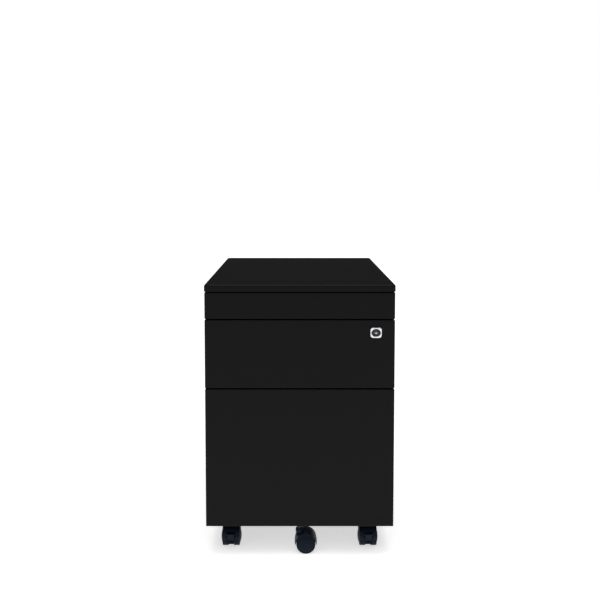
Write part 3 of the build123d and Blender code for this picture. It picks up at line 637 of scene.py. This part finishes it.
def ring_at(bm, depth, reach):
    """One ring of points at a depth in Y; reach gives its distance from the lock's axis at each angle."""
    stand = Matrix.Rotation(math.pi / 2, 4, "X")
    verts = bmesh.ops.create_circle(bm, segments=RING_STEPS, radius=1.0, matrix=stand)["verts"]
    ring = sorted(verts, key=lambda vert: math.atan2(vert.co.z, vert.co.x))
    for vert in ring:
        angle = math.atan2(vert.co.z, vert.co.x)
        distance = reach(angle)
        vert.co = (LOCK_MIDDLE.x + distance * math.cos(angle), depth,
                   LOCK_MIDDLE.z + distance * math.sin(angle))
    return ring


def stack_rings(bm, levels, closed=True):
    """Join (depth, reach) rings in order, point to point, and close them back to the first one."""
    rings = [ring_at(bm, depth, reach) for depth, reach in levels]
    pairs = list(zip(rings, rings[1:]))
    if closed:
        pairs.append((rings[-1], rings[0]))
    else:
        bm.faces.new(rings[0])
        bm.faces.new(rings[-1])
    for first, second in pairs:
        for step in range(RING_STEPS):
            bm.faces.new((first[step - 1], first[step], second[step], second[step - 1]))


print("rings ready")


# %% [markdown]
# ### Plate, insert, plug, shutter and pip
# The plate stays with the drawer, and so does the dark insert that fills its recess. The plug turns, and
# the shutter over its keyway and the bright pip turn with it, so those three ride on the plug's body.

# %% Lock pieces
PLATE_FRONT = LOCK_LOW.y
PLATE_THICK = 3.6 * MM
PLATE_BACK = PLATE_FRONT + PLATE_THICK
PLATE_WIDE = LOCK_SIZE.x / 2
PLATE_HIGH = LOCK_SIZE.z / 2
EYE_WIDE = 9.8 * MM
EYE_HIGH = 8.1 * MM
EYE_FLOOR = PLATE_FRONT + 1.2 * MM
BORE = 6.45 * MM
BARREL = 9.0 * MM
PLUG = 6.35 * MM
BORE_GAP = 0.05 * MM
PLUG_SINK = 0.4 * MM
PLUG_CHAMFER = 0.5 * MM
SHUTTER_HALF = (4.6 * MM, 0.45 * MM, 0.9 * MM)
SHUTTER_SINK = 0.3 * MM
SHUTTER_END = 0.85 * MM
SHUTTER_EDGE = 0.2 * MM
PIP = 1.5 * MM


def square(shrink):
    return lambda angle: square_reach(PLATE_WIDE - shrink, PLATE_HIGH - shrink, angle)


def eye(shrink):
    return lambda angle: eye_reach(EYE_WIDE - shrink, EYE_HIGH - shrink, angle)


def disc(radius):
    return lambda angle: radius


def build_lock_plate():
    bm = bmesh.new()
    stack_rings(bm, (
        (EYE_FLOOR, eye(0.0)), (PLATE_FRONT + 0.25 * MM, eye(0.0)), (PLATE_FRONT, eye(-0.25 * MM)),
        (PLATE_FRONT, square(0.9 * MM)), (PLATE_FRONT + 0.15 * MM, square(0.4 * MM)),
        (PLATE_FRONT + 0.45 * MM, square(0.1 * MM)), (PLATE_FRONT + 0.9 * MM, square(0.0)),
        (PLATE_BACK, square(0.0)), (PLATE_BACK, disc(BARREL)), (LOCK_HIGH.y - 0.5 * MM, disc(BARREL)),
        (LOCK_HIGH.y, disc(BARREL - 0.5 * MM)), (LOCK_HIGH.y, disc(BORE)), (EYE_FLOOR, disc(BORE)),
    ))
    return weighted(finish_piece("lock_plate", bm, "lock_housing"))


def build_lock_eye():
    """The dark insert: it slopes from the eye's rim to a raised collar round the plug."""
    bm = bmesh.new()
    stack_rings(bm, (
        (EYE_FLOOR, eye(0.1 * MM)), (PLATE_FRONT + 0.35 * MM, eye(0.1 * MM)),
        (PLATE_FRONT + 0.35 * MM, eye(0.5 * MM)), (PLATE_FRONT + 0.7 * MM, disc(7.3 * MM)),
        (PLATE_FRONT + 0.15 * MM, disc(7.15 * MM)), (PLATE_FRONT, disc(6.95 * MM)),
        (PLATE_FRONT, disc(6.75 * MM)), (PLATE_FRONT + 0.3 * MM, disc(BORE + BORE_GAP)),
        (EYE_FLOOR, disc(BORE + BORE_GAP)),
    ))
    return weighted(finish_piece("lock_eye", bm, "lock_shroud"))


def build_lock_plug():
    """The turning plug: a chamfered rim, a shallow dish and a long body behind it."""
    low, high, *_ = size_of("lock_plug")
    face = low.y + PLUG_SINK
    bm = bmesh.new()
    stack_rings(bm, (
        (high.y, disc(PLUG)), (face + PLUG_CHAMFER, disc(PLUG)), (face, disc(PLUG - PLUG_CHAMFER)),
        (face, disc(PLUG - 0.9 * MM)), (face + 0.5 * MM, disc(PLUG - 1.3 * MM)),
        (face + 0.6 * MM, disc(1.9 * MM)),
    ), closed=False)
    return weighted(finish_piece("lock_plug_body", bm, "lock_plug"))


def build_key_shutter():
    """A steel dust shutter across the keyway: a narrow bar with round ends."""
    low, *_ = size_of("lock_plug")
    reach = Vector(SHUTTER_HALF)
    centre = Vector((LOCK_MIDDLE.x, low.y + SHUTTER_SINK + reach.y, LOCK_MIDDLE.z))
    bm = bmesh.new()
    block(bm, centre - reach, centre + reach)
    ends = edges_of(bm, lambda a, b: abs(a.co.y - b.co.y) > reach.y)
    round_edges(bm, ends, SHUTTER_END, 4)
    front = edges_of(bm, lambda a, b: max(a.co.y, b.co.y) < centre.y - reach.y + SAME_POINT)
    round_edges(bm, front, SHUTTER_EDGE, 2)
    return weighted(finish_piece("lock_key_shutter", bm, "lock_plug", SHUTTER_STEEL, replace=False))


def build_key_pip():
    """A bright round pip in the middle of the shutter, which the key pushes in."""
    low, *_ = size_of("lock_plug")
    bm = bmesh.new()
    stack_rings(bm, (
        (low.y + 1.0 * MM, disc(PIP)), (low.y + 0.3 * MM, disc(PIP)), (low.y + 0.1 * MM, disc(1.25 * MM)),
        (low.y, disc(0.8 * MM)),
    ), closed=False)
    pip = finish_piece("lock_key_pip", bm, "lock_plug", CHROME, replace=False)
    return pip


lock_pieces = [build() for build in (build_lock_plate, build_lock_eye, build_lock_plug, build_key_shutter,
                                       build_key_pip)]
print("lock:", [(piece.name, len(piece.data.polygons)) for piece in lock_pieces])


# %% [markdown]
# ## Castor wheels
# Every castor has two wheels on one steel axle. A wheel is turned on a lathe, so its section is drawn once
# as a few points and spun about the axle: a tread with two fine grooves, rounded shoulders, and a domed
# outer face with a moulded ring. All ten wheels share the section, and each is carried
# to its own axle.

# %% Wheel section
AXLE_HOLE = 3.05 * MM
FINE_CHAMFER = 0.4 * MM
POCKET = 1.5 * MM
SHOULDER = 1.4 * MM
SHOULDER_STEPS = 5
DOME_STEPS = 12
DOME_RISE = 3.5 * MM
GROOVES = (0.35, 0.65)
GROOVE_TOP = 0.45 * MM
GROOVE_FLOOR = 0.25 * MM
GROOVE_DEEP = 0.35 * MM


def spin_outline(bm, outline, axis, centre, steps=72):
    """Spin a chain of points about an axis into a closed turned shape."""
    made = [bm.verts.new(point) for point in outline]
    chain = [bm.edges.new(pair) for pair in zip(made, made[1:])]
    bmesh.ops.spin(bm, geom=made + chain, cent=centre, axis=axis, dvec=(0, 0, 0), angle=math.tau, steps=steps,
                   use_merge=True, use_duplicate=False)


def wheel_outline(radius, inner, outer, dome, bore):
    """The wheel's half section as (across, out from the axle) pairs, from the bore to the dome's pole."""
    pocket = outer - POCKET
    points = [(pocket, 0.0), (pocket, bore), (inner + FINE_CHAMFER, bore), (inner, bore + FINE_CHAMFER),
              (inner, radius - 6.5 * MM), (inner + 0.6 * MM, radius - 6.0 * MM),
              (inner + 0.6 * MM, radius - 3.0 * MM), (inner, radius - 2.4 * MM), (inner, radius - SHOULDER)]
    for step in range(1, SHOULDER_STEPS + 1):
        turn = step / SHOULDER_STEPS * math.pi / 2
        points.append((inner + SHOULDER * (1 - math.cos(turn)), radius - SHOULDER * (1 - math.sin(turn))))
    for groove in GROOVES:
        at = inner + (outer - inner) * groove
        points += [(at - GROOVE_TOP, radius), (at - GROOVE_FLOOR, radius - GROOVE_DEEP),
                   (at + GROOVE_FLOOR, radius - GROOVE_DEEP), (at + GROOVE_TOP, radius)]
    for step in range(0, SHOULDER_STEPS + 1):
        turn = step / SHOULDER_STEPS * math.pi / 2
        points.append((outer - SHOULDER * (1 - math.sin(turn)), radius - SHOULDER * (1 - math.cos(turn))))
    rim = radius - 2.8 * MM
    points += [(outer, rim + 0.5 * MM), (outer - 0.5 * MM, rim + 0.2 * MM),
               (outer - 0.5 * MM, rim - 0.2 * MM), (outer, rim - 0.5 * MM)]
    rise = dome - outer
    start = rim - 0.5 * MM
    sphere = (start ** 2 + rise ** 2) / (2 * rise)
    for step in range(1, DOME_STEPS + 1):
        out = start * (1 - step / DOME_STEPS)
        points.append((dome - sphere + math.sqrt(sphere ** 2 - out ** 2), out))
    return points


def axle_frame(corner):
    """Centre of a castor's axle and the unit vector along it, from its two wheels' boxes."""
    wheel_low, wheel_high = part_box("castor_wheel_a_" + corner)
    other_low, other_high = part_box("castor_wheel_b_" + corner)
    centre = (Vector(wheel_low) + Vector(wheel_high) + Vector(other_low) + Vector(other_high)) / 4
    toward = Vector(other_low) + Vector(other_high) - Vector(wheel_low) - Vector(wheel_high)
    return centre, toward.normalized()


def build_wheel(corner, letter, side):
    centre, along = axle_frame(corner)
    _, _, middle, size = size_of("castor_wheel_%s_%s" % (letter, corner))
    radius = size.z / 2
    near = abs((middle - centre).dot(along))
    width = size.dot(Vector([abs(c) for c in along]))
    inner = near - width / 2
    dome = near + width / 2
    up = Vector((0, 0, 1))
    bm = bmesh.new()
    section = wheel_outline(radius, inner, dome - DOME_RISE, dome, AXLE_HOLE)
    spin_outline(bm, [centre + along * side * across + up * out for across, out in section], along, centre)
    return finish_piece("wheel_%s_%s" % (letter, corner), bm, "castor_wheel_%s_%s" % (letter, corner))


CORNERS = ("front_left", "front_right", "rear_left", "rear_right", "fifth")
for corner in CORNERS:
    wheels = [build_wheel(corner, letter, side) for letter, side in (("a", -1), ("b", 1))]
print("wheels:", 2 * len(CORNERS), "with", len(wheels[0].data.polygons), "faces each")


# %% [markdown]
# ## Castor hoods
# A hood is a thin moulding that wraps the upper half of both wheels, a little fuller in the middle than at
# its rims. Its section is spun half a turn about the axle as a single skin. On the two front castors a slot
# for the brake pedal is cut out of the skin with planes. Solidify then gives the skin its wall, and a Bevel
# rounds the lips. The core between the wheels is a turned boss for the stem, a web and two ribs.

# %% Hoods
HOOD_HALF = 18.5 * MM
HOOD_CROWN = 23.6 * MM
HOOD_RIM = 22.3 * MM
HOOD_WALL = 1.5 * MM
HOOD_STEPS = 40
SECTION_STEPS = 12
SLOT_HALF = 9.0 * MM
SLOT_TOP = 35.0 * MM
STEM_RADIUS = 5.0 * MM
BOSS_RADIUS = 8.5 * MM
BOSS_LOW = 41.0 * MM
BOSS_HIGH = 48.0 * MM
WEB_HALF = 5.1 * MM
WEB_RADIUS = 13.0 * MM
RIB_HALF = 1.0 * MM
RIB_REACH = 6.0 * MM
RIB_LOW = 30.0 * MM
RIB_EDGE = 0.3 * MM
STEM_GAP = 0.25 * MM
LIP = 0.4 * MM
STEM_AT = {joint["name"]: joint["pos_m"] for joint in frame["record"]["behaviour"]["joints"]
           if joint["name"].startswith("swivel_")}


def stem_of(corner):
    """A castor's axle centre, its axle's direction, its stem's foot and the direction from axle to stem."""
    centre, along = axle_frame(corner)
    foot = Vector((STEM_AT["swivel_" + corner][0], STEM_AT["swivel_" + corner][1], 0.0))
    ahead = Vector((foot.x - centre.x, foot.y - centre.y, 0.0)).normalized()
    return centre, along, foot, ahead


def build_hood_shell(corner, braked):
    centre, along, _, ahead = stem_of(corner)
    bm = bmesh.new()
    outline = []
    for step in range(SECTION_STEPS + 1):
        across = (2.0 * step / SECTION_STEPS - 1.0) * HOOD_HALF
        out = HOOD_CROWN - (HOOD_CROWN - HOOD_RIM) * (across / HOOD_HALF) ** 2
        outline.append(centre + along * across - ahead * out)
    turn_axis = along if (along.cross(-ahead)).z > 0 else -along
    made = [bm.verts.new(point) for point in outline]
    chain = [bm.edges.new(pair) for pair in zip(made, made[1:])]
    bmesh.ops.spin(bm, geom=made + chain, cent=centre, axis=turn_axis, dvec=(0, 0, 0), angle=math.pi,
                   steps=HOOD_STEPS, use_merge=False, use_duplicate=False)
    if braked:
        cuts = [(centre + along * side * SLOT_HALF, along) for side in (-1, 1)]
        cuts.append((Vector((centre.x, centre.y, SLOT_TOP)), Vector((0, 0, 1))))
        for point, normal in cuts:
            geometry = bm.verts[:] + bm.edges[:] + bm.faces[:]
            bmesh.ops.bisect_plane(bm, geom=geometry, plane_co=point, plane_no=normal, dist=1e-7)
        slot = [face for face in bm.faces if face.calc_center_median().z < SLOT_TOP
                and abs((face.calc_center_median() - centre).dot(along)) < SLOT_HALF
                and (face.calc_center_median() - centre).dot(ahead) < 0]
        bmesh.ops.delete(bm, geom=slot, context="FACES")
    bmesh.ops.remove_doubles(bm, verts=bm.verts[:], dist=SAME_POINT)
    for face in bm.faces:
        if face.normal.dot(face.calc_center_median() - centre) < 0:
            face.normal_flip()
    shell = finish_piece("hood_shell_" + corner, bm, "castor_hood_" + corner, fix_normals=False)
    wall = shell.modifiers.new("wall", "SOLIDIFY")
    wall.thickness = HOOD_WALL
    wall.offset = -1.0
    wall.use_even_offset = True
    lip = shell.modifiers.new("lip", "BEVEL")
    lip.width = LIP
    lip.segments = 2
    lip.limit_method = "ANGLE"
    lip.angle_limit = math.radians(40)
    return weighted(shell)


def turned(bm, points, axis, centre):
    """A closed section of points spun a full turn; the last point joins the first."""
    made = [bm.verts.new(point) for point in points]
    chain = [bm.edges.new(pair) for pair in zip(made, made[1:] + made[:1])]
    bmesh.ops.spin(bm, geom=made + chain, cent=centre, axis=axis, dvec=(0, 0, 0), angle=math.tau, steps=48,
                   use_merge=True, use_duplicate=False)


def build_hood_core(corner):
    centre, along, foot, ahead = stem_of(corner)
    up = Vector((0, 0, 1))
    bm = bmesh.new()
    bore = STEM_RADIUS + STEM_GAP
    boss = [(bore, BOSS_LOW), (BOSS_RADIUS, BOSS_LOW), (BOSS_RADIUS, BOSS_HIGH - 2.2 * MM),
            (BOSS_RADIUS - 0.6 * MM, BOSS_HIGH - 1.6 * MM), (BOSS_RADIUS - 0.6 * MM, BOSS_HIGH - 0.5 * MM),
            (BOSS_RADIUS - 1.1 * MM, BOSS_HIGH), (bore + 0.4 * MM, BOSS_HIGH), (bore, BOSS_HIGH - 0.4 * MM)]
    turned(bm, [foot + ahead * out + up * height for out, height in boss], up, foot)
    web = [(-WEB_HALF, AXLE_HOLE), (-WEB_HALF, WEB_RADIUS - 0.5 * MM), (-WEB_HALF + 0.5 * MM, WEB_RADIUS),
           (WEB_HALF - 0.5 * MM, WEB_RADIUS), (WEB_HALF, WEB_RADIUS - 0.5 * MM), (WEB_HALF, AXLE_HOLE)]
    turned(bm, [centre + along * across + up * out for across, out in web], along, centre)
    for reach in (-RIB_REACH, RIB_REACH):
        at = foot + ahead * reach
        corner_a = at - along * WEB_HALF - ahead * RIB_HALF
        corner_b = at + along * WEB_HALF + ahead * RIB_HALF
        low = Vector((min(corner_a.x, corner_b.x), min(corner_a.y, corner_b.y), RIB_LOW))
        high = Vector((max(corner_a.x, corner_b.x), max(corner_a.y, corner_b.y), BOSS_LOW + 1.0 * MM))
        rib = block(bm, low, high)
        round_edges(bm, list({edge for vert in rib for edge in vert.link_edges}), RIB_EDGE, 2)
    return weighted(finish_piece("hood_core_" + corner, bm, "castor_hood_" + corner, replace=False))


BRAKED = ("front_left", "front_right")
for corner in CORNERS:
    shell = build_hood_shell(corner, corner in BRAKED)
    core = build_hood_core(corner)
print("hoods:", len(CORNERS), "shell faces", len(shell.data.polygons), "core faces", len(core.data.polygons))


# %% [markdown]
# ## Everything else that CAD already shaped
# The remaining nodes keep their shape and take a deburred edge. Sheet parts are rounded by a fraction of
# their thickness, moulded and rubber parts by more.

# %% Softened pieces
SOFT_RADIUS = {
    "left_side_panel": 0.35, "right_side_panel": 0.35, "back_panel": 0.3, "bottom_pan": 0.3, "top_rails": 0.3,
    "slide_uprights": 0.3, "slide_outer_members": 0.35, "slide_stops": 0.8, "lock_bar": 0.3,
    "lock_bar_guides": 0.2,
    "castor_plates": 0.5, "castor_nuts": 0.5, "castor_stems": 0.4,
    "pencil_front_backing": 0.25, "box_front_backing": 0.25, "file_front_backing": 0.25,
    "pencil_drawer_tray": 0.35, "box_drawer_tray": 0.35, "file_drawer_tray": 0.35, "pencil_insert": 0.6,
    "pencil_slide_inner": 0.35, "box_slide_inner": 0.35, "file_slide_inner": 0.35, "file_slide_middle": 0.35,
    "box_front_screws": 0.3, "file_front_screws": 0.3, "file_hanging_rails": 0.5,
    "fifth_castor_bracket": 0.6, "fifth_castor_stem": 0.4, "lock_nut": 0.4, "lock_cam": 0.4,
}
for corner in CORNERS:
    SOFT_RADIUS["castor_axle_" + corner] = 0.4
for corner in BRAKED:
    SOFT_RADIUS["brake_pedal_" + corner] = 0.5
DARK_STEEL = {"castor_stems", "fifth_castor_stem"} | {"castor_axle_" + corner for corner in CORNERS}
for node, radius in SOFT_RADIUS.items():
    piece = softened(node, radius * MM, material=BLACK_ZINC if node in DARK_STEEL else None)
print("softened:", len(SOFT_RADIUS), "nodes")


# %% [markdown]
# ## Hardware on the slides
# An open drawer shows how its slides are fixed: flat screws through each inner member into the tray, and a
# small black release lever near the front. A screw head is a section spun about its own axis with a round
# socket in the middle. All heads of one drawer are one piece, because they are one kind of fastener.

# %% Slide hardware
HEAD_RADIUS = 3.6 * MM
HEAD_HIGH = 1.3 * MM
SOCKET_RADIUS = 1.5 * MM
HEAD_PLACES = (0.12, 0.50, 0.88)
LEVER_LONG = 34.0 * MM
LEVER_HIGH = 7.0 * MM
SLIDE_SHEET = 1.2 * MM
SLIDE_FACE = 177.0 * MM
LEVER_SETBACK = 24.0 * MM
LEVER_THICK = 2.2 * MM
HEAD_SINK = 0.2 * MM


def build_slide_screws(node):
    low, _, middle, size = size_of(node)
    bm = bmesh.new()
    section = [(0.0, 0.0), (0.0, HEAD_RADIUS), (0.5 * HEAD_HIGH, HEAD_RADIUS),
               (0.85 * HEAD_HIGH, 0.86 * HEAD_RADIUS), (HEAD_HIGH, 0.62 * HEAD_RADIUS),
               (HEAD_HIGH, SOCKET_RADIUS), (0.35 * HEAD_HIGH, SOCKET_RADIUS), (0.2 * HEAD_HIGH, 0.0)]
    along = Vector((1, 0, 0))
    face = SLIDE_FACE + SLIDE_SHEET
    for side in (-1, 1):
        for place in HEAD_PLACES:
            foot = Vector((side * face, low.y + size.y * place, middle.z))
            points = [foot + along * side * (out - HEAD_SINK) + Vector((0, 0, reach))
                      for out, reach in section]
            spin_outline(bm, points, along, foot, 20)
    return finish_piece(node + "_screws", bm, node, replace=False)


def build_release_levers(node):
    """A thin moulded lever on each side, rounded at its ends, that frees the drawer from its slides."""
    low, _, middle, _ = size_of(node)
    bm = bmesh.new()
    face = SLIDE_FACE + SLIDE_SHEET
    front = low.y + LEVER_SETBACK
    for side in (-1, 1):
        edges = sorted((side * face, side * (face + LEVER_THICK)))
        made = block(bm, (edges[0], front, middle.z - LEVER_HIGH / 2),
                     (edges[1], front + LEVER_LONG, middle.z + LEVER_HIGH / 2))
        lying = [edge for edge in {edge for vert in made for edge in vert.link_edges}
                 if abs(edge.verts[0].co.x - edge.verts[1].co.x) > 1e-4]
        round_edges(bm, lying, LEVER_HIGH * 0.4, 5)
    piece = weighted(finish_piece(node + "_levers", bm, node, STYRENE, replace=False))
    return piece


for node in ("pencil_slide_inner", "box_slide_inner", "file_slide_inner"):
    screws = build_slide_screws(node)
    levers = build_release_levers(node)
print("slide hardware:", len(screws.data.polygons), len(levers.data.polygons), "faces a drawer")


# %% [markdown]
# ## Floor, light and camera
# A pale sweep stands under the cabinet and the light is broad and even, as in a studio. The camera stands a
# little above the lid and looks almost level, with the lens shifted down so that the uprights stay nearly
# parallel.

# %% Studio
def sun(name, azimuth, elevation, strength, spread=60.0):
    """A broad soft sun at that compass direction and height, in degrees."""
    lamp = bpy.data.lights.new(name, "SUN")
    lamp.energy = strength
    lamp.angle = math.radians(spread)
    holder = bpy.data.objects.new(name, lamp)
    bpy.context.scene.collection.objects.link(holder)
    holder.rotation_euler = (math.radians(90.0 - elevation), 0.0, math.radians(azimuth))


def build_floor():
    bm = bmesh.new()
    bmesh.ops.create_grid(bm, x_segments=1, y_segments=1, size=30.0)
    mesh = bpy.data.meshes.new("floor")
    bm.to_mesh(mesh)
    bm.free()
    floor = bpy.data.objects.new("floor", mesh)
    bpy.context.scene.collection.objects.link(floor)
    material, tree, shader, where = start_material("pale_floor", Specular_IOR_Level=0.05,
                                                   Emission_Color=(1.0, 1.0, 1.0, 1.0),
                                                   Emission_Strength=FLOOR_GLOW)
    clouds = place(tree, CLOUDS, where, Scale=1.2)
    shade = tint(tree, clouds.outputs["Value"], (0.90, 0.90, 0.90), (0.92, 0.92, 0.92))
    tree.links.new(shade, shader.inputs["Base Color"])
    rough = remap(tree, clouds.outputs["Smudge"], 0.0, 1.0, 0.85, 0.9)
    tree.links.new(rough, shader.inputs["Roughness"])
    mesh.materials.append(material)


def build_world():
    """A pure white backdrop for the camera, and a much dimmer sky for everything that the sky lights."""
    world = bpy.data.worlds.new("studio")
    bpy.context.scene.world = world
    world.use_nodes = True
    tree = world.node_tree
    sky = tree.nodes["Background"]
    sky.inputs["Color"].default_value = (1.0, 1.0, 1.0, 1.0)
    path = tree.nodes.new("ShaderNodeLightPath")
    strength = remap(tree, path.outputs["Is Camera Ray"], 0.0, 1.0, SKY_LIGHT, 1.0)
    tree.links.new(strength, sky.inputs["Strength"])


SKY_LIGHT = 0.04
FLOOR_GLOW = 0.62
build_floor()
build_world()
sun("front_left", -35.0, 55.0, 0.50)
sun("front_right", 35.0, 55.0, 0.50)
sun("overhead", 0.0, 86.0, 0.95, 40.0)
sun("behind", 180.0, 60.0, 0.25)
print("studio: floor, world and 4 soft suns")


# %% [markdown]
# ### Camera
# A small tilt and a large downward shift put the cabinet low in the frame without leaning its sides in
# much.

# %% Camera
CAMERA_AT = Vector((-0.0078, -1.6482, 0.7792))
TILT = math.radians(3.5)
LENS = 41.72
SHIFT_X = 0.0068
SHIFT_Y = -0.127

lens = bpy.data.cameras.new("camera")
lens.sensor_width = 36.0
lens.lens = LENS
lens.shift_x = SHIFT_X
lens.shift_y = SHIFT_Y
lens.clip_start = 0.01
lens.clip_end = 50.0
camera = bpy.data.objects.new("camera", lens)
bpy.context.scene.collection.objects.link(camera)
camera.location = CAMERA_AT
camera.rotation_euler = (math.pi / 2 - TILT, 0.0, 0.0)
bpy.context.scene.camera = camera
bpy.context.scene.view_settings.view_transform = "Standard"
print("camera:", tuple(round(c, 3) for c in CAMERA_AT), "lens", LENS)
